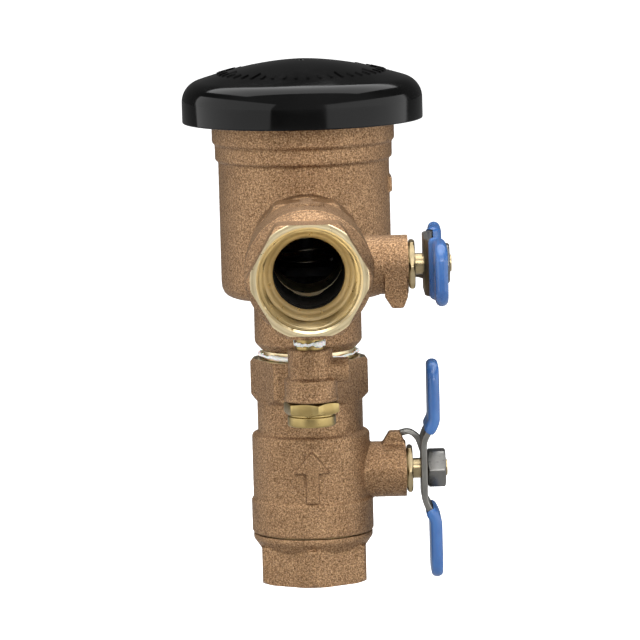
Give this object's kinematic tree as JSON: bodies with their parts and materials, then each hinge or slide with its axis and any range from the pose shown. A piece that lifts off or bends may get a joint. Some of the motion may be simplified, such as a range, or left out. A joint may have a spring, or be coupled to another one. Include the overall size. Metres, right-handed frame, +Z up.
{
  "type": "pressure vacuum breaker",
  "caption": "Irrigation backflow preventer: upright bronze body under an air-inlet canopy, with a tee-handled shutoff valve and a small test cock at its inlet and outlet.",
  "frame": {"origin": "centre of the inlet port's end face, at the foot of the vertical axis", "axes": "+Z up along the inlet and body axis; -Y out of the outlet port; +X along both operating stems"},
  "size_m": [0.0924, 0.1786, 0.189],
  "materials": {
    "cast_bronze": "sand-cast bronze skin, machined on the hexagon ends",
    "brass": "machined",
    "chromed_brass": "polished plating",
    "zinc_steel": "zinc plated",
    "stainless_steel": "drawn",
    "blue_vinyl": "dipped vinyl",
    "black_plastic": "gloss moulding",
    "grey_plastic": "moulded",
    "black_rubber": "moulded",
    "white_ptfe": "waxy"
  },
  "bodies": {
    "housing": {"main_body": "cast_bronze", "bonnet": "grey_plastic", "bonnet_o_ring": "black_rubber", "guide_cage": "grey_plastic", "canopy": "black_plastic", "canopy_screw": "stainless_steel", "inlet_thread_tape": "white_ptfe", "outlet_thread_tape": "white_ptfe", "air_poppet_spring": "stainless_steel", "check_spring": "stainless_steel", "inlet_valve_body": "cast_bronze", "inlet_valve_tailpiece": "cast_bronze", "inlet_valve_seat_body_side": "white_ptfe", "inlet_valve_seat_tail_side": "white_ptfe", "inlet_valve_packing": "white_ptfe", "inlet_valve_gland_nut": "brass", "outlet_valve_body": "cast_bronze", "outlet_valve_tailpiece": "cast_bronze", "outlet_valve_seat_body_side": "white_ptfe", "outlet_valve_seat_tail_side": "white_ptfe", "outlet_valve_packing": "white_ptfe", "outlet_valve_gland_nut": "brass", "test_cock_1_body": "cast_bronze", "test_cock_1_end_fitting": "brass", "test_cock_1_inner_seat": "white_ptfe", "test_cock_1_outer_seat": "white_ptfe", "test_cock_1_thread_tape": "white_ptfe", "test_cock_2_body": "cast_bronze", "test_cock_2_end_fitting": "brass", "test_cock_2_inner_seat": "white_ptfe", "test_cock_2_outer_seat": "white_ptfe", "test_cock_2_thread_tape": "white_ptfe"},
    "inlet_shutoff": {"inlet_valve_ball": "chromed_brass", "inlet_valve_stem": "brass", "inlet_handle": "zinc_steel", "inlet_handle_grip_a": "blue_vinyl", "inlet_handle_grip_b": "blue_vinyl", "inlet_handle_nut": "zinc_steel"},
    "outlet_shutoff": {"outlet_valve_ball": "chromed_brass", "outlet_valve_stem": "brass", "outlet_handle": "zinc_steel", "outlet_handle_grip_a": "blue_vinyl", "outlet_handle_grip_b": "blue_vinyl", "outlet_handle_nut": "zinc_steel"},
    "test_cock_1_plug": {"test_cock_1_ball": "chromed_brass", "test_cock_1_stem": "brass"},
    "test_cock_2_plug": {"test_cock_2_ball": "chromed_brass", "test_cock_2_stem": "brass"},
    "check_valve": {"check_holder": "grey_plastic", "check_seal": "black_rubber", "check_washer": "stainless_steel", "check_screw": "stainless_steel"},
    "air_inlet_poppet": {"air_poppet": "grey_plastic", "air_poppet_seal": "black_rubber"}
  },
  "joints": [
    {"name": "inlet_handle_turn", "type": "hinge", "parent": "housing", "child": "inlet_shutoff", "pos_m": [0, 0, 0.0395], "axis": [-1, 0, 0], "range_deg": [0, 90]},
    {"name": "outlet_handle_turn", "type": "hinge", "parent": "housing", "child": "outlet_shutoff", "pos_m": [0, -0.0809, 0.1239], "axis": [-1, 0, 0], "range_deg": [0, 90]},
    {"name": "test_cock_1_turn", "type": "hinge", "parent": "housing", "child": "test_cock_1_plug", "pos_m": [0, 0.039, 0.0603], "axis": [1, 0, 0], "range_deg": [0, 90]},
    {"name": "test_cock_2_turn", "type": "hinge", "parent": "housing", "child": "test_cock_2_plug", "pos_m": [0, -0.0601, 0.0849], "axis": [1, 0, 0], "range_deg": [0, 90]},
    {"name": "check_slide", "type": "slide", "parent": "housing", "child": "check_valve", "axis": [0, 0, 1], "range_m": [0, 0.008], "stiffness_N_per_m": 300, "springref_m": -0.01, "deforming": ["check_spring"]},
    {"name": "air_poppet_slide", "type": "slide", "parent": "housing", "child": "air_inlet_poppet", "axis": [0, 0, 1], "range_m": [0, 0.0046], "stiffness_N_per_m": 60, "springref_m": -0.006, "deforming": ["air_poppet_spring"]}
  ]
}
